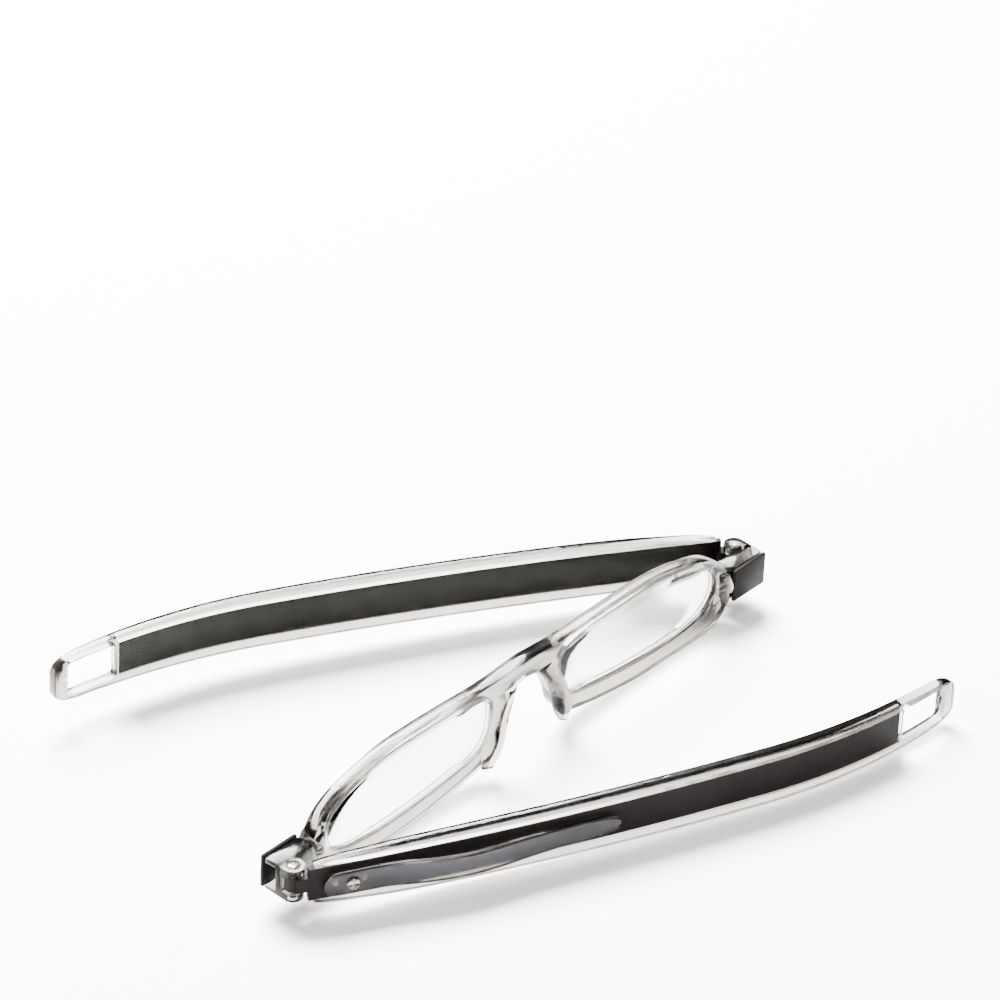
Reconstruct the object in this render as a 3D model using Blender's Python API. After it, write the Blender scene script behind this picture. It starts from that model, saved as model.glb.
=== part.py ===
"""Folding reading glasses whose temples swivel right round and fold flat like a pen.

The front stands upright with its length along X. Each end block swivels on the
front about X, and each temple turns on its block about an upright hinge. The
wearer is on the -Y side. The left temple is on the wearing side and the right
one is flipped to the other side, both part open.
"""
import math

import bmesh
import bpy
from mathutils import Matrix, Vector

MM = 0.001

# Driving dimensions, in millimetres and degrees
GAP = 0.3                    # clearance kept between neighbouring pieces
BLOCK_START = 59.5           # inner end of an end block, from the middle of the front
BLOCK_END = 68.56
BLOCK_HALF_HEIGHT = 3.65
BLOCK_HALF_DEPTH = 2.5
PLATE_THICKNESS = 0.8
HINGE_X = 66.35
HINGE_Y = -3.85
EYE_RADIUS = 2.1
KNUCKLE_RADIUS = 1.65
KNUCKLE_HALF_HEIGHT = 1.65
HINGE_BORE = 1.0
HEAD_BORE = 1.45             # recess for the hinge screw's head
SWIVEL_BORE = 1.1
BOSS_END = 58.3
RIM_HALF_DEPTH = 1.6
RIM_BOTTOM = -8.0
LENS_GROOVE = 0.9            # groove depth round each opening
LENS_EDGE = 0.6              # how far a lens reaches into its groove
LENS_EDGE_HALF = 0.6
LENS_MIDDLE_HALF = 1.0
STRIP_END = 125.4            # black strip, measured along the temple from the hinge
STRIP_HALF_HEIGHT = 3.64
STRIP_INNER = -0.2           # strip faces, from the temple's middle plane
STRIP_OUTER = 0.9
SHELL_HALF = 1.1
SHELL_START = 3.4
WEB_FACE = -0.5
SHELL_OFFSET = 1.43          # temple's middle plane, outboard of the hinge axis
WINDOW_START = 126.2
WINDOW_END = 137.6
WINDOW_HALF_HEIGHT = 3.95
TIP_END = 140.4
BOW = 0.0795                 # gentle bend along the temple, degrees per mm
TIP_BEND = 0.455             # firmer bend towards the tip, degrees per mm
TIP_BEND_START = 94.8
CLIP_SCREW_AT = 10.4
CLIP_PEGS_AT = (7.3, 12.9)

# Resting pose
SWIVEL_TILT = 2.2            # both blocks, from square to the front
LEFT_HEADING = 28.76         # each temple from the line of the front, at its hinge
RIGHT_HEADING = 35.78


def material(name, colour, roughness, metallic=0.0, transmission=0.0):
    """A plain Principled material, made once."""
    found = bpy.data.materials.get(name)
    if found:
        return found
    made = bpy.data.materials.new(name)
    made.use_nodes = True
    shader = made.node_tree.nodes["Principled BSDF"]
    shader.inputs["Base Color"].default_value = (*colour, 1.0)
    shader.inputs["Roughness"].default_value = roughness
    shader.inputs["Metallic"].default_value = metallic
    shader.inputs["Transmission Weight"].default_value = transmission
    return made


def finish(name):
    """The materials, by name."""
    if name == "clear":
        return material("clear_plastic", (0.86, 0.85, 0.83), 0.08, transmission=0.9)
    if name == "lens":
        return material("lens_plastic", (0.95, 0.95, 0.95), 0.03, transmission=1.0)
    if name == "black":
        return material("black_plastic", (0.035, 0.03, 0.03), 0.38)
    if name == "nickel":
        return material("nickel", (0.72, 0.68, 0.62), 0.25, metallic=1.0)
    return material("nylon", (0.80, 0.79, 0.76), 0.5)


# Mesh helpers, all in millimetres

def make_object(name, bm, look, parent, side=1, smooth_angle=32):
    """Turn a bmesh in millimetres into an object; side -1 mirrors it to the left."""
    bm.transform(Matrix.Diagonal((side * MM, MM, MM, 1.0)))
    bmesh.ops.recalc_face_normals(bm, faces=bm.faces)
    mesh = bpy.data.meshes.new(name)
    bm.to_mesh(mesh)
    bm.free()
    mesh.shade_smooth()
    mesh.set_sharp_from_angle(angle=math.radians(smooth_angle))
    made = bpy.data.objects.new(name, mesh)
    if look:
        mesh.materials.append(finish(look))
    bpy.context.scene.collection.objects.link(made)
    made.parent = parent
    return made


def combine(target, name, bm, operation, side=1):
    """Join or cut an object with a tool solid, which stays as a hidden guide."""
    tool = make_object(f"{target.name} {name}", bm, None, target.parent, side)
    tool.hide_render = True
    tool.display_type = "WIRE"
    modifier = target.modifiers.new(f"{operation.lower()} {name}", "BOOLEAN")
    modifier.operation = operation
    modifier.solver = "EXACT"
    modifier.object = tool


def bevel(target, width, segments=2, angle=40):
    modifier = target.modifiers.new("soft edges", "BEVEL")
    modifier.width = width * MM
    modifier.segments = segments
    modifier.limit_method = "ANGLE"
    modifier.angle_limit = math.radians(angle)


def loft(rings):
    """Closed solid through rings of equally many points."""
    bm = bmesh.new()
    made = [[bm.verts.new(point) for point in ring] for ring in rings]
    count = len(made[0])
    for low, high in zip(made, made[1:]):
        for i in range(count):
            j = (i + 1) % count
            bm.faces.new((low[i], low[j], high[j], high[i]))
    bm.faces.new(list(reversed(made[0])))
    bm.faces.new(made[-1])
    return bm


def box(low, high):
    (x0, y0, z0), (x1, y1, z1) = low, high
    return loft([[(x0, y0, z), (x1, y0, z), (x1, y1, z), (x0, y1, z)] for z in (z0, z1)])


def turned(profile, axis, centre=(0, 0, 0), segments=24):
    """Solid turned about an axis through centre, from (distance along, radius) pairs."""
    rings = []
    for along, radius in profile:
        ring = []
        for i in range(segments):
            angle = 2 * math.pi * i / segments
            u, v = radius * math.cos(angle), radius * math.sin(angle)
            point = {"X": (along, u, v), "Y": (u, along, v), "Z": (u, v, along)}[axis]
            ring.append(tuple(c + p for c, p in zip(centre, point)))
        rings.append(ring)
    return loft(rings)


def washer(inner, outer, low, high, split=0, lift=0.0, segments=32):
    """Ring about X. A split leaves that many segments out and lifts one end by the given pitch."""
    bm = bmesh.new()
    corners = ((low, inner), (low, outer), (high, outer), (high, inner))
    count = segments - split + (1 if split else 0)
    loops = []
    for i in range(count):
        angle = 2 * math.pi * i / segments
        rise = lift * i / segments
        loops.append([bm.verts.new((x + rise, r * math.cos(angle), r * math.sin(angle)))
                      for x, r in corners])
    pairs = list(zip(loops, loops[1:])) if split else list(zip(loops, loops[1:] + loops[:1]))
    for here, there in pairs:
        for k in range(4):
            m = (k + 1) % 4
            bm.faces.new((here[k], there[k], there[m], here[m]))
    if split:
        bm.faces.new(loops[0])
        bm.faces.new(list(reversed(loops[-1])))
    return bm


def rounded(points, steps=4, closed=False):
    """Curve through points of any dimension; an open run keeps its two ends."""
    points = [Vector(p) for p in points]
    ring = [points[-1]] + points + points[:2] if closed else [points[0]] + points + [points[-1]]
    curve = []
    for before, start, end, after in zip(ring, ring[1:], ring[2:], ring[3:]):
        for step in range(steps):
            t = step / steps
            curve.append(tuple(0.5 * (2 * start + (end - before) * t
                                      + (2 * before - 5 * start + 4 * end - after) * t ** 2
                                      + (3 * start - before - 3 * end + after) * t ** 3)))
    if not closed:
        curve.append(tuple(points[-1]))
    return curve


def outward(outline, distance):
    """Move every point of a clockwise outline outwards along its normal."""
    moved = []
    count = len(outline)
    for i in range(count):
        before, here, after = (Vector(outline[(i + k) % count]) for k in (-1, 0, 1))
        along = (after - before).normalized()
        moved.append(tuple(here + distance * Vector((-along.y, along.x))))
    return moved


def upright(outline, *sections):
    """Solid from an X-Z outline, through (y, outward distance) sections."""
    return loft([[(x, y, z) for x, z in outward(outline, distance)] for y, distance in sections])


# The front

OPENING = ((10.6, 9.2), (16.0, 10.6), (27.0, 11.0), (36.0, 11.0), (42.0, 10.3), (48.0, 9.0), (52.8, 6.5),
           (54.5, 3.4), (53.9, 0.0), (51.4, -2.3), (47.0, -3.5), (40.0, -4.0), (30.0, -3.6), (20.0, -2.5),
           (13.2, -1.2), (10.6, 1.2), (9.8, 5.2))
FRONT_TOP = ((0.0, 13.5), (7.0, 13.0), (13.0, 12.8), (20.0, 13.1), (30.0, 13.3), (38.0, 13.0),
             (45.0, 11.6), (51.5, 9.8), (55.8, 7.2), (BOSS_END, 3.8))
FRONT_BOTTOM = ((BOSS_END, -3.8), (57.0, -5.9), (54.0, -7.3), (48.0, RIM_BOTTOM), (34.0, RIM_BOTTOM),
                (26.0, -7.3), (17.5, -6.1), (11.5, -4.6), (8.6, -1.6), (7.4, 2.4), (5.6, 6.4), (3.2, 8.8),
                (0.0, 9.5))
# Each nose pad by height: front and back of its nose side, its outer side, and its reach
PAD = ((9.4, 3.2, 4.2, 7.0, 2.6), (6.4, 5.0, 6.0, 8.8, 3.2), (3.2, 6.4, 7.6, 10.2, 3.6),
       (0.2, 7.1, 8.4, 11.2, 3.7), (-2.8, 7.9, 9.3, 12.2, 3.4), (-5.6, 9.4, 10.4, 12.2, 2.7))


def front_outline():
    """The whole front, clockwise from the top of the bridge."""
    right = rounded(FRONT_TOP) + rounded(FRONT_BOTTOM)
    right = [(x, max(z, RIM_BOTTOM)) for x, z in right]
    left = [(-x, z) for x, z in reversed(right[1:-1])]
    return right + left


def mirrored(outline):
    """The same clockwise outline on the left."""
    return [(-x, z) for x, z in reversed(outline)]


def boss():
    """End of the front that carries the swivel, as a solid along X."""
    rings = []
    for x, half_depth, half_height in ((55.0, 1.5, 4.6), (56.3, 2.45, 4.3), (57.7, 2.5, 3.75),
                                       (BOSS_END, 2.2, 3.4)):
        corner = 0.9
        ring = []
        for y_sign, z_sign in ((1, 1), (-1, 1), (-1, -1), (1, -1)):
            ends = [(y_sign * half_depth, z_sign * (half_height - corner)),
                    (y_sign * (half_depth - 0.3 * corner), z_sign * (half_height - 0.3 * corner)),
                    (y_sign * (half_depth - corner), z_sign * half_height)]
            ring += ends if y_sign * z_sign > 0 else ends[::-1]
        rings.append([(x, y, z) for y, z in ring])
    return loft(rings)


def pad():
    """One nose pad, standing from the rim towards the wearer."""
    rings = []
    for z, nose_front, nose_back, outer, reach in rounded(PAD, 3):
        corners = ((nose_front, -1.45), (nose_back, -reach), (outer, 0.9 - reach), (outer, -1.45))
        rings.append([(x, y, z) for x, y in rounded(corners, 4, closed=True)])
    return loft(rings)


def build_front(root):
    frame = make_object("front_frame", upright(
        front_outline(), (-RIM_HALF_DEPTH, -0.2), (0.06 - RIM_HALF_DEPTH, -0.06), (0.2 - RIM_HALF_DEPTH, 0),
        (RIM_HALF_DEPTH - 0.2, 0), (RIM_HALF_DEPTH - 0.06, -0.06), (RIM_HALF_DEPTH, -0.2)), "clear", root)
    opening = rounded(OPENING, 3, closed=True)
    for side, word in ((1, "right"), (-1, "left")):
        outline = opening if side > 0 else mirrored(opening)
        combine(frame, f"{word} boss", boss(), "UNION", side)
        combine(frame, f"{word} opening", upright(
            outline, (-3.0, 0.25), (-RIM_HALF_DEPTH, 0.25), (-RIM_HALF_DEPTH + 0.25, 0),
            (RIM_HALF_DEPTH - 0.25, 0), (RIM_HALF_DEPTH, 0.25), (3.0, 0.25)), "DIFFERENCE")
        half = LENS_EDGE_HALF + GAP
        combine(frame, f"{word} groove", upright(outline, (-half, LENS_GROOVE), (half, LENS_GROOVE)),
                "DIFFERENCE")
        combine(frame, f"{word} pad", pad(), "UNION", side)
        combine(frame, f"{word} screw bore", turned(((56.1, SWIVEL_BORE), (60.0, SWIVEL_BORE)), "X"),
                "DIFFERENCE", side)
        make_object(f"{word}_lens", lens(outline), "lens", root)


def lens(outline):
    """Reading lens, thicker in the middle."""
    edge = outward(outline, LENS_EDGE)
    centre = Vector((sum(p[0] for p in edge), sum(p[1] for p in edge))) / len(edge)
    rings = []
    for side in (-1, 1):
        shares = (0.08, 0.35, 0.65, 0.985, 1.0) if side < 0 else (1.0, 0.985, 0.65, 0.35, 0.08)
        for share in shares:
            half = LENS_EDGE_HALF + (LENS_MIDDLE_HALF - LENS_EDGE_HALF) * (1 - share ** 2)
            if share == 1.0:
                half = LENS_EDGE_HALF - 0.12
            ring = [centre + (Vector(p) - centre) * share for p in edge]
            rings.append([(p.x, side * half, p.y) for p in ring])
    return loft(rings)


# End blocks, in the frame of a right block with its temple on the wearing side

def build_block(word, side, swivel):
    half = BLOCK_HALF_HEIGHT
    face = BLOCK_HALF_DEPTH - PLATE_THICKNESS - GAP
    block = make_object(f"{word}_end_block", box((BLOCK_START, -BLOCK_HALF_DEPTH, -half),
                                                 (BLOCK_END, face, half)), "clear", swivel, side)
    eye = (HINGE_X, HINGE_Y, 0)
    bevel(block, 0.35)
    for name, low, high in (("upper eye", KNUCKLE_HALF_HEIGHT + GAP, half - 0.05),
                            ("lower eye", 0.05 - half, -KNUCKLE_HALF_HEIGHT - GAP)):
        combine(block, name, turned(((low, EYE_RADIUS), (high, EYE_RADIUS)), "Z", eye), "UNION", side)
        combine(block, f"{name} root", box((HINGE_X - EYE_RADIUS, HINGE_Y, low),
                                           (HINGE_X + EYE_RADIUS, -2.2, high)), "UNION", side)
    relief = KNUCKLE_RADIUS + GAP
    combine(block, "knuckle relief", turned(((-KNUCKLE_HALF_HEIGHT - GAP, relief),
                                             (KNUCKLE_HALF_HEIGHT + GAP, relief)), "Z", eye),
            "DIFFERENCE", side)
    combine(block, "hollow", box((61.3, -1.45, -2.6), (BLOCK_END + 1, face + 1, 2.6)), "DIFFERENCE", side)
    combine(block, "swivel bore", turned(((58.0, SWIVEL_BORE), (62.0, SWIVEL_BORE)), "X"),
            "DIFFERENCE", side)
    combine(block, "hinge bore", turned(((-6, HINGE_BORE), (2.9, HINGE_BORE), (2.9001, HEAD_BORE),
                                         (6, HEAD_BORE)), "Z", eye), "DIFFERENCE", side)

    plate = make_object(f"{word}_block_plate", box((BLOCK_START, BLOCK_HALF_DEPTH - PLATE_THICKNESS, -half),
                                                   (BLOCK_END, BLOCK_HALF_DEPTH, half)),
                        "black", swivel, side)
    bevel(plate, 0.25)

    screw = make_object(f"{word}_swivel_screw", turned(
        ((56.4, 0.55), (56.7, 0.8), (62.2, 0.8), (62.2001, 1.3), (63.1, 1.3), (63.35, 1.05)), "X"),
        "nickel", swivel, side)
    combine(screw, "slot", box((63.0, -0.2, -1.5), (64, 0.2, 1.5)), "DIFFERENCE", side)
    combine(screw, "cross slot", box((63.0, -1.5, -0.2), (64, 1.5, 0.2)), "DIFFERENCE", side)
    make_object(f"{word}_spring_washer", washer(1.1, 1.35, 61.45, 61.7, split=2, lift=0.3),
                "nickel", swivel, side)
    make_object(f"{word}_friction_washer", washer(1.1, 2.4, 58.6, 59.2), "nylon", swivel, side)

    pin = make_object(f"{word}_hinge_screw", turned(
        ((-3.5, 0.5), (-3.3, 0.7), (3.05, 0.7), (3.0501, 1.15), (3.5, 1.15), (3.65, 0.95)), "Z", eye),
        "nickel", swivel, side)
    combine(pin, "slot", box((HINGE_X - 1.5, HINGE_Y - 0.17, 3.35), (HINGE_X + 1.5, HINGE_Y + 0.17, 5)),
            "DIFFERENCE", side)
    combine(pin, "cross slot", box((HINGE_X - 0.17, HINGE_Y - 1.5, 3.35), (HINGE_X + 0.17, HINGE_Y + 1.5, 5)),
            "DIFFERENCE", side)


# Temples, in the frame of a right hinge with the temple running towards -X

SHELL_HEIGHTS = ((SHELL_START, 4.3), (5.0, 4.75), (9.0, 5.25), (14.0, 5.55), (20.0, 5.9), (30.0, 6.15),
                 (50.0, 6.25), (80.0, 6.28), (100.0, 6.2), (115.0, 5.98), (126.0, 5.7), (133.0, 5.4))
# Clip by distance along the temple: its middle outboard of the temple's, half width, half thickness
CLIP = ((4.9, 1.85, 0.9, 0.4), (5.3, 1.85, 1.75, 0.55), (6.2, 1.85, 2.35, 0.62), (7.8, 1.85, 2.65, 0.62),
        (13.0, 1.85, 2.7, 0.62), (18.0, 2.0, 2.7, 0.62), (22.0, 2.7, 2.68, 0.62), (26.0, 3.4, 2.66, 0.62),
        (32.0, 3.85, 2.62, 0.62), (38.0, 3.5, 2.55, 0.62), (44.0, 2.75, 2.45, 0.62), (51.0, 2.1, 2.3, 0.6),
        (57.0, 1.85, 2.15, 0.6), (60.5, 1.85, 2.0, 0.6), (62.3, 1.9, 1.65, 0.56), (63.3, 1.95, 1.15, 0.45),
        (63.7, 1.95, 0.6, 0.3))


def along_temple(s, across, z):
    """Point at distance s along the bowed temple; across is outboard of its middle plane."""
    x, y, heading = 0.0, -SHELL_OFFSET, 0.0
    for bend, length in ((BOW, min(s, TIP_BEND_START)), (TIP_BEND, max(0.0, s - TIP_BEND_START))):
        turn = math.radians(bend)
        after = heading - turn * length
        x += (math.sin(after) - math.sin(heading)) / turn
        y -= (math.cos(after) - math.cos(heading)) / turn
        heading = after
    return (x + across * math.sin(heading), y - across * math.cos(heading), z)


def bent(stations, section):
    """Solid through the stations; section gives (across, z) pairs for a station."""
    return loft([[along_temple(station[0], across, z) for across, z in section(*station)]
                 for station in stations])


def slab(stations, inner, outer, half_height):
    """Plain bent solid of one thickness and height."""
    corners = ((inner, -half_height), (outer, -half_height), (outer, half_height), (inner, half_height))
    return bent([(s,) for s in stations], lambda s: corners)


def shell_section(s, height):
    edge = SHELL_HALF
    soft = 0.55
    upper = [(-edge, height - soft), (-edge + 0.16, height - 0.16), (-edge + soft, height),
             (edge - soft, height), (edge - 0.16, height - 0.16), (edge, height - soft)]
    return upper + [(across, -z) for across, z in reversed(upper)]


def shell_stations():
    stations = [tuple(p) for p in rounded(SHELL_HEIGHTS, 4)]
    end_start, end_height = SHELL_HEIGHTS[-1]
    reach = TIP_END - end_start
    for i in range(1, 9):
        angle = math.radians(90 * i / 8.6)
        stations.append((end_start + reach * math.sin(angle),
                         2.2 + (end_height - 2.2) * math.cos(angle) ** 0.75))
    return stations


def window_solid():
    """Cutter for the tip window, with rounded corners."""
    half, corner = WINDOW_HALF_HEIGHT, 0.8
    run = [(WINDOW_START, half - corner), (WINDOW_START + 0.24, half - 0.24), (WINDOW_START + corner, half),
           (129.0, half), (132.0, half), (135.0, half),
           (WINDOW_END - corner, half), (WINDOW_END - 0.24, half - 0.24), (WINDOW_END, half - corner)]
    return bent(run, lambda s, h: ((-3, -h), (3, -h), (3, h), (-3, h)))


def build_temple(word, side, hinge):
    strip_at = [2.3] + [6.0 + 8.0 * i for i in range(12)] + [94.8] + [98.0 + 4.0 * i for i in range(7)]
    core = make_object(f"{word}_temple_core", slab(strip_at + [STRIP_END], STRIP_INNER, STRIP_OUTER,
                                                   STRIP_HALF_HEIGHT), "black", hinge, side)
    z = KNUCKLE_HALF_HEIGHT
    combine(core, "neck", box((-3.2, -SHELL_OFFSET - STRIP_OUTER + 0.05, 0.1 - z), (0, 0, z - 0.1)), "UNION",
            side)
    combine(core, "knuckle", turned(((-z, KNUCKLE_RADIUS), (z, KNUCKLE_RADIUS)), "Z"), "UNION", side)
    combine(core, "hinge bore", turned(((-3, HINGE_BORE), (3, HINGE_BORE)), "Z"), "DIFFERENCE", side)

    shell = make_object(f"{word}_temple_shell", bent(shell_stations(), shell_section), "clear", hinge, side)
    channel_at = [SHELL_START - 2] + strip_at[1:] + [STRIP_END + GAP]
    combine(shell, "channel", slab(channel_at, WEB_FACE, 3.0, STRIP_HALF_HEIGHT + GAP), "DIFFERENCE", side)
    combine(shell, "window", window_solid(), "DIFFERENCE", side)
    nub = along_temple(WINDOW_END + 0.1, 0, 0)
    combine(shell, "snap nub", turned(((-0.9, 0.25), (-0.5, 0.55), (0.5, 0.55), (0.9, 0.25)), "Z", nub,
                                      segments=16), "UNION", side)
    return core


def build_clip(hinge, core):
    """Spring clip and its screw on the outer face of the left temple."""
    def section(s, middle, half_width, half_thickness):
        edge = 0.45 * half_thickness
        upper = [(middle - half_thickness, half_width - edge), (middle - half_thickness + edge, half_width),
                 (middle + half_thickness - edge, half_width), (middle + half_thickness, half_width - edge)]
        return upper + [(across, -z) for across, z in reversed(upper)]

    clip = make_object("pocket_clip", bent([tuple(p) for p in rounded(CLIP, 3)], section), "clear",
                       hinge, -1)
    inner = STRIP_OUTER + GAP
    for i, at in enumerate(CLIP_PEGS_AT):
        x, y, _ = along_temple(at, 0, 0)
        combine(clip, f"peg {i + 1}", turned(((y - inner - 0.4, 0.5), (y - 0.15, 0.5), (y, 0.38)), "Y",
                                             (x, 0, 0), 16), "UNION", -1)
        combine(core, f"peg hole {i + 1}", turned(((y - 3, 0.8), (y + 1, 0.8)), "Y", (x, 0, 0), 16),
                "DIFFERENCE", -1)
    x, y, _ = along_temple(CLIP_SCREW_AT, 0, 0)
    combine(clip, "screw hole", turned(((y - 5, 0.9), (y + 1, 0.9)), "Y", (x, 0, 0)), "DIFFERENCE", -1)
    combine(core, "clip screw hole", turned(((y - 3, 0.9), (y + 1, 0.9)), "Y", (x, 0, 0)),
            "DIFFERENCE", -1)
    top = y - 2.55
    screw = make_object("clip_screw", turned(
        ((top - 0.6, 0.95), (top - 0.4, 1.25), (top, 1.25), (top + 0.0001, 0.6), (y - 0.1, 0.6), (y, 0.45)),
        "Y", (x, 0, 0)), "nickel", hinge, -1)
    combine(screw, "slot", box((x - 1.5, top - 1.5, -0.19), (x + 1.5, top - 0.3, 0.19)), "DIFFERENCE", -1)
    combine(screw, "cross slot", box((x - 0.19, top - 1.5, -1.5), (x + 0.19, top - 0.3, 1.5)),
            "DIFFERENCE", -1)


def empty(name, parent, location=(0, 0, 0), rotation=(0, 0, 0)):
    made = bpy.data.objects.new(name, None)
    made.empty_display_size = 0.004
    bpy.context.scene.collection.objects.link(made)
    made.parent = parent
    made.location = [MM * v for v in location]
    made.rotation_euler = [math.radians(v) for v in rotation]
    return made


def stand_on_floor(root):
    """Move the root so the lowest point is at height zero and the middle is over the origin."""
    bpy.context.view_layer.update()
    graph = bpy.context.evaluated_depsgraph_get()
    points = []
    for thing in bpy.context.scene.objects:
        if thing.type == "MESH" and not thing.hide_render:
            solid = thing.evaluated_get(graph)
            points += [solid.matrix_world @ v.co for v in solid.data.vertices]
    low, high = ([pick(p[i] for p in points) for i in range(3)] for pick in (min, max))
    root.location = (-(low[0] + high[0]) / 2, -(low[1] + high[1]) / 2, -low[2])


def main():
    for old in list(bpy.data.objects):
        bpy.data.objects.remove(old)
    root = empty("folding_reading_glasses", None)
    build_front(root)
    for word, side, flip, heading in (("left", -1, 0, LEFT_HEADING), ("right", 1, 180, RIGHT_HEADING)):
        swivel = empty(f"{word}_swivel", root, rotation=(flip + SWIVEL_TILT, 0, 0))
        build_block(word, side, swivel)
        hinge = empty(f"{word}_hinge", swivel, (side * HINGE_X, HINGE_Y, 0), (0, 0, side * heading))
        core = build_temple(word, side, hinge)
        if word == "left":
            build_clip(hinge, core)
    stand_on_floor(root)


main()
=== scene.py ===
"""Looks for the folding reading glasses: clear plastic, black strips, small nickel screws, and the stage."""

import math

import bmesh
import bpy
from bpy.props import FloatProperty, FloatVectorProperty, PointerProperty
from mathutils import Matrix, Vector


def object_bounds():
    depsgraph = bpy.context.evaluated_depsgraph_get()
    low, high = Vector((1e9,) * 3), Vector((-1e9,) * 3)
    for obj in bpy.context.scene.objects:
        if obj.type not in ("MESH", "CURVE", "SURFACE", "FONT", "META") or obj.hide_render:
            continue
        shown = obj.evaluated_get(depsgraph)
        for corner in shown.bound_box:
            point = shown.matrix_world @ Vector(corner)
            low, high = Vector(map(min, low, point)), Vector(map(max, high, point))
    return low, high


bl_info = {
    "name": "Folding Reading Glasses",
    "version": (1, 0, 0),
    "blender": (4, 5, 0),
    "location": "View3D > Sidebar > Glasses",
    "description": "Finishes and stage for folding reading glasses",
    "category": "Object",
}

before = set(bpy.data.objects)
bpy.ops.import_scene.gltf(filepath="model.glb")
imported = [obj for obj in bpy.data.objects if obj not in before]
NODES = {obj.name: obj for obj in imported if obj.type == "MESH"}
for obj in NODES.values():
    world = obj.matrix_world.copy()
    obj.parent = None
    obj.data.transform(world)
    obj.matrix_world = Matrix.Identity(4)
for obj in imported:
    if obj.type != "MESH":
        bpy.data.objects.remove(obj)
CAD_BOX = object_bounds()
SIDES = ("left", "right")
MM = 0.001

# Optics and lamps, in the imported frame
CLEAR_IOR = 1.49
LENS_IOR = 1.46
CLEAR_DEPTH_COLOUR = (0.13, 0.10, 0.07)
CLEAR_SHADOW = (0.6, 0.59, 0.58)      # share of lamp light that clear plastic lets past
FACING_GLOSS = (0.04, 0.04, 0.04)     # gloss of clear plastic seen square on
CLIP_GLOSS = (0.68, 0.66, 0.74)
LENS_GLOSS = (0.1, 0.1, 0.1)
PLATE_SPECULAR = 0.015
STRIP_SPECULAR = 0.03
SHARP_EDGE = math.radians(38)
KEY_SIZE, KEY_PLACE = (0.6, 0.5), Vector((0.28, 0.5, 0.72))
FILL_SIZE, FILL_PLACE = (0.6, 0.6), Vector((-0.75, -0.2, 0.7))
LAMP_TARGET = Vector((0.0, 0.0, 0.01))
FLOOR_HALF = 3.0
FLOOR_DROP = 0.00005                  # keeps the floor just under the glasses

# Camera, as directions and distances from the glasses
CAMERA_AIM = Vector((14.37, 11.09, 41.38)) * MM
CAMERA_AZIMUTH = -48.035
CAMERA_ELEVATION = 34.881
CAMERA_ROLL = 0.767
CAMERA_DISTANCE = 1.339
CAMERA_LENS = 253.67


class GlassesPlastic(bpy.types.PropertyGroup):
    clear_tint: FloatVectorProperty(
        name="Clear tint", description="Colour of the clear plastic", subtype="COLOR",
        default=(0.93, 0.92, 0.905), min=0.0, max=1.0)
    clear_depth: FloatProperty(
        name="Depth tone", description="How fast the clear plastic darkens with its thickness, per metre",
        default=680.0, min=0.0)
    clear_roughness: FloatProperty(
        name="Clear roughness", description="Polish of the clear plastic", subtype="FACTOR",
        default=0.1, min=0.0, max=1.0)
    lens_tint: FloatVectorProperty(
        name="Lens tint", description="Colour of the lenses", subtype="COLOR",
        default=(0.985, 0.985, 0.985), min=0.0, max=1.0)
    black_colour: FloatVectorProperty(
        name="Black", description="Colour of the temple strips and block plates", subtype="COLOR",
        default=(0.0075, 0.0065, 0.0065), min=0.0, max=1.0)
    black_roughness: FloatProperty(
        name="Black roughness", description="Satin finish of the black plastic", subtype="FACTOR",
        default=0.36, min=0.0, max=1.0)


class GlassesMetal(bpy.types.PropertyGroup):
    nickel_colour: FloatVectorProperty(
        name="Nickel", description="Colour of the screws", subtype="COLOR",
        default=(0.20, 0.187, 0.168), min=0.0, max=1.0)
    nickel_roughness: FloatProperty(
        name="Nickel roughness", description="Polish of the screws", subtype="FACTOR",
        default=0.22, min=0.0, max=1.0)


class GlassesStage(bpy.types.PropertyGroup):
    floor_tone: FloatProperty(
        name="Floor tone", description="Lightness of the floor", subtype="FACTOR",
        default=0.93, min=0.0, max=1.0)
    key_power: FloatProperty(
        name="Key light", description="Power of the large lamp behind the glasses", unit="POWER",
        default=140.0, min=0.0)
    fill_power: FloatProperty(
        name="Fill light", description="Power of the lamp beside the camera", unit="POWER",
        default=12.0, min=0.0)
    sky_strength: FloatProperty(
        name="Room light", description="Strength of the even light from all round",
        default=0.8, min=0.0)


# Shader node helpers

def add_node(tree, kind, inputs=None, **settings):
    """Add a node, set its properties, and set or link its inputs."""
    node = tree.nodes.new(kind)
    for name, value in settings.items():
        setattr(node, name, value)
    for name, value in (inputs or {}).items():
        socket = node.inputs[name]
        if isinstance(value, bpy.types.NodeSocket):
            tree.links.new(value, socket)
        else:
            socket.default_value = value
    return node


def new_group(name, inputs, outputs):
    """An empty shader node group with named sockets; inputs map a name to a default number."""
    group = bpy.data.node_groups.new(name, "ShaderNodeTree")
    for label, default in inputs.items():
        socket = group.interface.new_socket(label, in_out="INPUT", socket_type="NodeSocketFloat")
        socket.default_value = default
    for label in outputs:
        group.interface.new_socket(label, in_out="OUTPUT", socket_type="NodeSocketFloat")
    return group, add_node(group, "NodeGroupInput"), add_node(group, "NodeGroupOutput")


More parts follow.
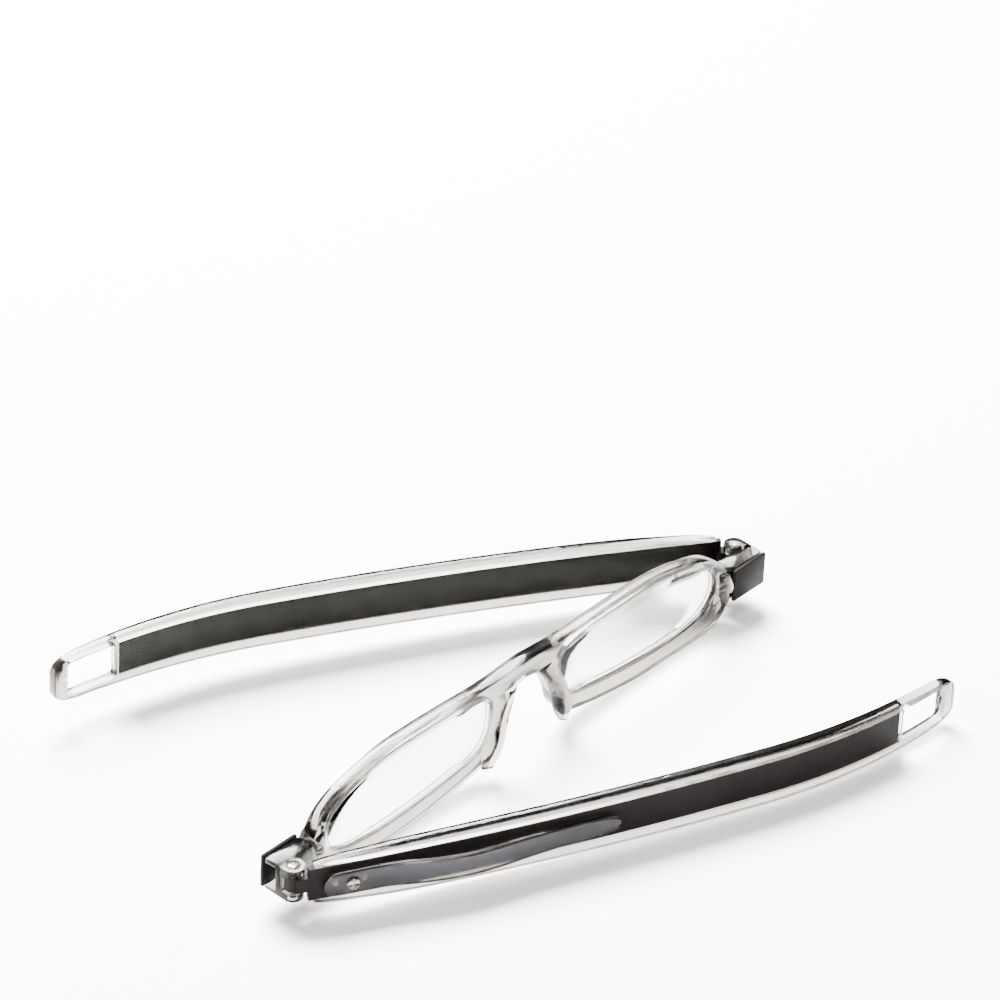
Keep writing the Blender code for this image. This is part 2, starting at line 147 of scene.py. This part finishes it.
def handling_marks_group():
    """Hairline scratches and faint haze from fingers: a roughness and a height."""
    found = bpy.data.node_groups.get("handling_marks")
    if found:
        return found
    group, given, out = new_group(
        "handling_marks", {"Roughness": 0.1, "Haze": 0.05, "Scratches": 0.5, "Scale": 1.0},
        ("Roughness", "Height"))
    place = add_node(group, "ShaderNodeTexCoord")
    size = add_node(group, "ShaderNodeMath", {0: given.outputs["Scale"], 1: 260.0}, operation="MULTIPLY")
    haze = add_node(group, "ShaderNodeTexNoise", {
        "Vector": place.outputs["Object"], "Scale": size.outputs[0], "Detail": 3.0, "Roughness": 0.55})
    stretch = add_node(group, "ShaderNodeMapping", {
        "Vector": place.outputs["Object"], "Rotation": (0.0, 0.35, 0.25), "Scale": (1.0, 14.0, 9.0)})
    fine_size = add_node(group, "ShaderNodeMath", {0: given.outputs["Scale"], 1: 420.0}, operation="MULTIPLY")
    hairline = add_node(group, "ShaderNodeTexNoise", {
        "Vector": stretch.outputs[0], "Scale": fine_size.outputs[0], "Detail": 2.0, "Roughness": 0.4})
    line = add_node(group, "ShaderNodeMapRange", {
        "Value": hairline.outputs["Fac"], "From Min": 0.62, "From Max": 0.72, "To Min": 0.0, "To Max": 1.0})
    spread = add_node(group, "ShaderNodeMapRange", {
        "Value": haze.outputs["Fac"], "From Min": 0.35, "From Max": 0.7, "To Min": 0.0, "To Max": 1.0})
    haze_part = add_node(group, "ShaderNodeMath", {0: spread.outputs[0], 1: given.outputs["Haze"]},
                         operation="MULTIPLY")
    line_part = add_node(group, "ShaderNodeMath", {0: line.outputs[0], 1: given.outputs["Scratches"]},
                         operation="MULTIPLY")
    line_share = add_node(group, "ShaderNodeMath", {0: line_part.outputs[0], 1: 0.08}, operation="MULTIPLY")
    base = add_node(group, "ShaderNodeMath", {0: given.outputs["Roughness"], 1: haze_part.outputs[0]},
                    operation="ADD")
    total = add_node(group, "ShaderNodeMath", {0: base.outputs[0], 1: line_share.outputs[0]},
                     operation="ADD", use_clamp=True)
    group.links.new(total.outputs[0], out.inputs["Roughness"])
    group.links.new(line_part.outputs[0], out.inputs["Height"])
    return group


def moulding_ripple_group():
    """Slow waviness that moulded plastic shows in its reflections: a height."""
    found = bpy.data.node_groups.get("moulding_ripple")
    if found:
        return found
    group, given, out = new_group("moulding_ripple", {"Scale": 90.0, "Flow": 3.0}, ("Height",))
    place = add_node(group, "ShaderNodeTexCoord")
    flow = add_node(group, "ShaderNodeMapping", {
        "Vector": place.outputs["Object"], "Scale": (0.3, 1.0, 1.0)})
    wave = add_node(group, "ShaderNodeTexNoise", {
        "Vector": flow.outputs[0], "Scale": given.outputs["Scale"], "Detail": 1.5,
        "Distortion": given.outputs["Flow"]})
    group.links.new(wave.outputs["Fac"], out.inputs["Height"])
    return group


def blank_material(name):
    """A new material with its Principled shader and node tree."""
    made = bpy.data.materials.new(name)
    made.use_nodes = True
    return made, made.node_tree, made.node_tree.nodes["Principled BSDF"]


def add_marks(tree, shader, roughness, haze, scratches, scale=1.0, ripple=None, depth=0.00001):
    """Put handling marks, and moulding ripple where given, on a shader."""
    marks = add_node(tree, "ShaderNodeGroup", node_tree=handling_marks_group())
    given = {"Roughness": roughness, "Haze": haze, "Scratches": scratches, "Scale": scale}
    for label, value in given.items():
        marks.inputs[label].default_value = value
    tree.links.new(marks.outputs["Roughness"], shader.inputs["Roughness"])
    bump = add_node(tree, "ShaderNodeBump", {
        "Strength": 0.25, "Distance": depth, "Height": marks.outputs["Height"]})
    if ripple:
        wave = add_node(tree, "ShaderNodeGroup", node_tree=moulding_ripple_group())
        wave.inputs["Scale"].default_value = ripple
        slow = add_node(tree, "ShaderNodeBump", {
            "Strength": 0.4, "Distance": 0.00006, "Height": wave.outputs["Height"]})
        tree.links.new(slow.outputs["Normal"], bump.inputs["Normal"])
    tree.links.new(bump.outputs["Normal"], shader.inputs["Normal"])


def let_light_through(tree, shader, colour):
    """Let lamps shine through a clear piece, so that it casts only a faint shadow."""
    path = add_node(tree, "ShaderNodeLightPath")
    passing = add_node(tree, "ShaderNodeBsdfTransparent", {"Color": (*colour, 1.0)})
    either = add_node(tree, "ShaderNodeMixShader", {
        0: path.outputs["Is Shadow Ray"], 1: shader.outputs["BSDF"], 2: passing.outputs["BSDF"]})
    tree.links.new(either.outputs["Shader"], tree.nodes["Material Output"].inputs["Surface"])


def clear_plastic(name, plastic, gloss=FACING_GLOSS, ripple=110.0, depth=1.0, scratches=0.5):
    """Clear moulded plastic: grey in its depth, with a quiet surface and faint flow ripple."""
    made, tree, shader = blank_material(name)
    shader.inputs["Base Color"].default_value = (*plastic.clear_tint, 1.0)
    shader.inputs["Transmission Weight"].default_value = 1.0
    shader.inputs["Metallic"].default_value = 0.0
    shader.inputs["IOR"].default_value = CLEAR_IOR
    shader.inputs["Specular Tint"].default_value = (*gloss, 1.0)
    add_marks(tree, shader, plastic.clear_roughness, 0.05, scratches, ripple=ripple)
    body = add_node(tree, "ShaderNodeVolumeAbsorption", {
        "Color": (*CLEAR_DEPTH_COLOUR, 1.0), "Density": plastic.clear_depth * depth})
    tree.links.new(body.outputs["Volume"], tree.nodes["Material Output"].inputs["Volume"])
    let_light_through(tree, shader, CLEAR_SHADOW)
    return made


def lens_plastic(tint):
    """Polished lens."""
    made, tree, shader = blank_material("polished_lens")
    shader.inputs["Base Color"].default_value = (*tint, 1.0)
    shader.inputs["Transmission Weight"].default_value = 1.0
    shader.inputs["Metallic"].default_value = 0.0
    shader.inputs["IOR"].default_value = LENS_IOR
    shader.inputs["Specular Tint"].default_value = (*LENS_GLOSS, 1.0)
    add_marks(tree, shader, 0.0, 0.012, 0.12, scale=0.7, depth=0.000004)
    let_light_through(tree, shader, tint)
    return made


def black_plastic(name, plastic, specular):
    """Satin black plastic with a fine moulded grain."""
    made, tree, shader = blank_material(name)
    place = add_node(tree, "ShaderNodeTexCoord")
    cloud = add_node(tree, "ShaderNodeTexNoise", {
        "Vector": place.outputs["Object"], "Scale": 70.0, "Detail": 4.0})
    ramp = add_node(tree, "ShaderNodeValToRGB", {"Fac": cloud.outputs["Fac"]})
    ramp.color_ramp.elements[0].position = 0.3
    ramp.color_ramp.elements[0].color = (*(0.8 * c for c in plastic.black_colour), 1.0)
    ramp.color_ramp.elements[1].position = 0.75
    ramp.color_ramp.elements[1].color = (*(1.25 * c for c in plastic.black_colour), 1.0)
    tree.links.new(ramp.outputs["Color"], shader.inputs["Base Color"])
    shader.inputs["Specular IOR Level"].default_value = specular
    add_marks(tree, shader, plastic.black_roughness, 0.1, 0.5, ripple=60.0)
    return made


def nickel(colour, roughness):
    """Bright nickel with turning marks."""
    made, tree, shader = blank_material("bright_nickel")
    shader.inputs["Base Color"].default_value = (*colour, 1.0)
    shader.inputs["Metallic"].default_value = 1.0
    add_marks(tree, shader, roughness, 0.12, 1.0, scale=4.0, depth=0.000004)
    return made


def nylon():
    """Milky nylon of the friction rings."""
    made, tree, shader = blank_material("milky_nylon")
    shader.inputs["Base Color"].default_value = (0.62, 0.60, 0.56, 1.0)
    shader.inputs["Subsurface Weight"].default_value = 0.2
    shader.inputs["Subsurface Scale"].default_value = 0.001
    add_marks(tree, shader, 0.4, 0.1, 0.2, scale=2.0)
    return made


def dress(node_name, finish):
    """Give a CAD node its finish, with joined facets, smooth shading and crisp edges."""
    thing = NODES[node_name]
    thing.data.materials.clear()
    thing.data.materials.append(finish)
    thing.data.shade_smooth()
    weld = thing.modifiers.new("join facets", "WELD")
    weld.merge_threshold = 1e-6
    split = thing.modifiers.new("crisp edges", "EDGE_SPLIT")
    split.split_angle = SHARP_EDGE


class GLASSES_OT_front(bpy.types.Operator):
    """Finish the clear front"""
    bl_idname = "glasses.front"
    bl_label = "Front"

    def execute(self, context):
        plastic = context.scene.glasses_plastic
        dress("front_frame", clear_plastic("clear_front", plastic, depth=0.72))
        return {"FINISHED"}


class GLASSES_OT_lenses(bpy.types.Operator):
    """Finish the two lenses"""
    bl_idname = "glasses.lenses"
    bl_label = "Lenses"

    def execute(self, context):
        finish = lens_plastic(context.scene.glasses_plastic.lens_tint)
        for side in SIDES:
            dress(f"{side}_lens", finish)
        return {"FINISHED"}


class GLASSES_OT_blocks(bpy.types.Operator):
    """Finish the end blocks and their black plates"""
    bl_idname = "glasses.blocks"
    bl_label = "End blocks"

    def execute(self, context):
        plastic = context.scene.glasses_plastic
        clear = clear_plastic("clear_block", plastic, depth=2.0)
        black = black_plastic("black_plate", plastic, PLATE_SPECULAR)
        ring = nylon()
        for side in SIDES:
            dress(f"{side}_end_block", clear)
            dress(f"{side}_block_plate", black)
            dress(f"{side}_friction_washer", ring)
        return {"FINISHED"}


class GLASSES_OT_temples(bpy.types.Operator):
    """Finish the temples: black strips in clear shells"""
    bl_idname = "glasses.temples"
    bl_label = "Temples"

    def execute(self, context):
        plastic = context.scene.glasses_plastic
        clear = clear_plastic("clear_temple", plastic)
        black = black_plastic("black_strip", plastic, STRIP_SPECULAR)
        for side in SIDES:
            dress(f"{side}_temple_shell", clear)
            dress(f"{side}_temple_core", black)
        return {"FINISHED"}


class GLASSES_OT_clip(bpy.types.Operator):
    """Finish the pocket clip"""
    bl_idname = "glasses.clip"
    bl_label = "Pocket clip"

    def execute(self, context):
        plastic = context.scene.glasses_plastic
        finish = clear_plastic("clear_clip", plastic, gloss=CLIP_GLOSS, ripple=None, scratches=0.06)
        dress("pocket_clip", finish)
        return {"FINISHED"}


class GLASSES_OT_screws(bpy.types.Operator):
    """Finish the screws and spring washers"""
    bl_idname = "glasses.screws"
    bl_label = "Screws"

    def execute(self, context):
        metal = context.scene.glasses_metal
        finish = nickel(metal.nickel_colour, metal.nickel_roughness)
        for side in SIDES:
            for piece in ("swivel_screw", "spring_washer", "hinge_screw"):
                dress(f"{side}_{piece}", finish)
        dress("clip_screw", finish)
        return {"FINISHED"}


def aim(thing, place, target, roll=0.0):
    """Place a lamp or camera so that it looks at a target."""
    look = (target - place).normalized()
    right = look.cross(Vector((0, 0, 1))).normalized()
    up = right.cross(look)
    matrix = Matrix((right, up, -look)).transposed().to_4x4() @ Matrix.Rotation(roll, 4, "Z")
    matrix.translation = place
    thing.matrix_world = matrix


def add_lamp(name, size, power, place, target):
    lamp = bpy.data.lights.new(name, "AREA")
    lamp.shape = "RECTANGLE"
    lamp.size, lamp.size_y = size
    lamp.energy = power
    thing = bpy.data.objects.new(name, lamp)
    bpy.context.scene.collection.objects.link(thing)
    aim(thing, place, target)


def build_sky(strength):
    """Even white light from above that darkens towards the horizon."""
    world = bpy.data.worlds.new("studio")
    world.use_nodes = True
    bpy.context.scene.world = world
    tree = world.node_tree
    place = add_node(tree, "ShaderNodeTexCoord")
    split = add_node(tree, "ShaderNodeSeparateXYZ", {"Vector": place.outputs["Generated"]})
    ramp = add_node(tree, "ShaderNodeValToRGB", {"Fac": split.outputs["Z"]})
    ramp.color_ramp.elements[0].position = 0.45
    ramp.color_ramp.elements[0].color = (0.012, 0.012, 0.013, 1.0)
    ramp.color_ramp.elements[1].position = 0.8
    ramp.color_ramp.elements[1].color = (1.0, 1.0, 1.0, 1.0)
    background = tree.nodes["Background"]
    tree.links.new(ramp.outputs["Color"], background.inputs["Color"])
    background.inputs["Strength"].default_value = strength


class GLASSES_OT_stage(bpy.types.Operator):
    """Floor, lamps and camera"""
    bl_idname = "glasses.stage"
    bl_label = "Stage"

    def execute(self, context):
        stage = context.scene.glasses_stage
        made, tree, shader = blank_material("pale_floor")
        shader.inputs["Base Color"].default_value = (stage.floor_tone,) * 3 + (1.0,)
        shader.inputs["Roughness"].default_value = 0.55
        shader.inputs["Specular IOR Level"].default_value = 0.2
        bm = bmesh.new()
        bmesh.ops.create_grid(bm, x_segments=4, y_segments=4, size=FLOOR_HALF)
        mesh = bpy.data.meshes.new("floor")
        bm.to_mesh(mesh)
        bm.free()
        mesh.materials.append(made)
        floor = bpy.data.objects.new("floor", mesh)
        floor.location.z = CAD_BOX[0][2] - FLOOR_DROP
        context.scene.collection.objects.link(floor)

        add_lamp("key", KEY_SIZE, stage.key_power, KEY_PLACE, LAMP_TARGET)
        add_lamp("fill", FILL_SIZE, stage.fill_power, FILL_PLACE, LAMP_TARGET)
        build_sky(stage.sky_strength)

        camera = bpy.data.cameras.new("camera")
        camera.lens = CAMERA_LENS
        camera.sensor_width = 36.0
        camera.clip_end = 20.0
        thing = bpy.data.objects.new("camera", camera)
        context.scene.collection.objects.link(thing)
        context.scene.camera = thing
        azimuth, elevation = math.radians(CAMERA_AZIMUTH), math.radians(CAMERA_ELEVATION)
        look = Vector((-math.sin(azimuth) * math.cos(elevation), math.cos(azimuth) * math.cos(elevation),
                       -math.sin(elevation)))
        aim(thing, CAMERA_AIM - CAMERA_DISTANCE * look, CAMERA_AIM, math.radians(CAMERA_ROLL))
        return {"FINISHED"}


class GLASSES_PT_panel(bpy.types.Panel):
    """Steps that finish the glasses"""
    bl_label = "Folding glasses"
    bl_idname = "GLASSES_PT_panel"
    bl_space_type = "VIEW_3D"
    bl_region_type = "UI"
    bl_category = "Glasses"

    def draw(self, context):
        for group in (context.scene.glasses_plastic, context.scene.glasses_metal,
                      context.scene.glasses_stage):
            box = self.layout.box()
            for name in group.__annotations__:
                box.prop(group, name)
        for step in STEPS:
            self.layout.operator(step.bl_idname)


STEPS = (GLASSES_OT_front, GLASSES_OT_lenses, GLASSES_OT_blocks, GLASSES_OT_temples, GLASSES_OT_clip,
         GLASSES_OT_screws, GLASSES_OT_stage)
GROUPS = {"glasses_plastic": GlassesPlastic, "glasses_metal": GlassesMetal, "glasses_stage": GlassesStage}


def register():
    for kind in (*GROUPS.values(), *STEPS, GLASSES_PT_panel):
        bpy.utils.register_class(kind)
    for name, kind in GROUPS.items():
        setattr(bpy.types.Scene, name, PointerProperty(type=kind))


def unregister():
    for name in GROUPS:
        delattr(bpy.types.Scene, name)
    for kind in reversed((*GROUPS.values(), *STEPS, GLASSES_PT_panel)):
        bpy.utils.unregister_class(kind)


def main():
    register()
    bpy.ops.glasses.front()
    bpy.ops.glasses.lenses()
    bpy.ops.glasses.blocks()
    bpy.ops.glasses.temples()
    bpy.ops.glasses.clip()
    bpy.ops.glasses.screws()
    bpy.ops.glasses.stage()


if __name__ == "__main__":
    main()
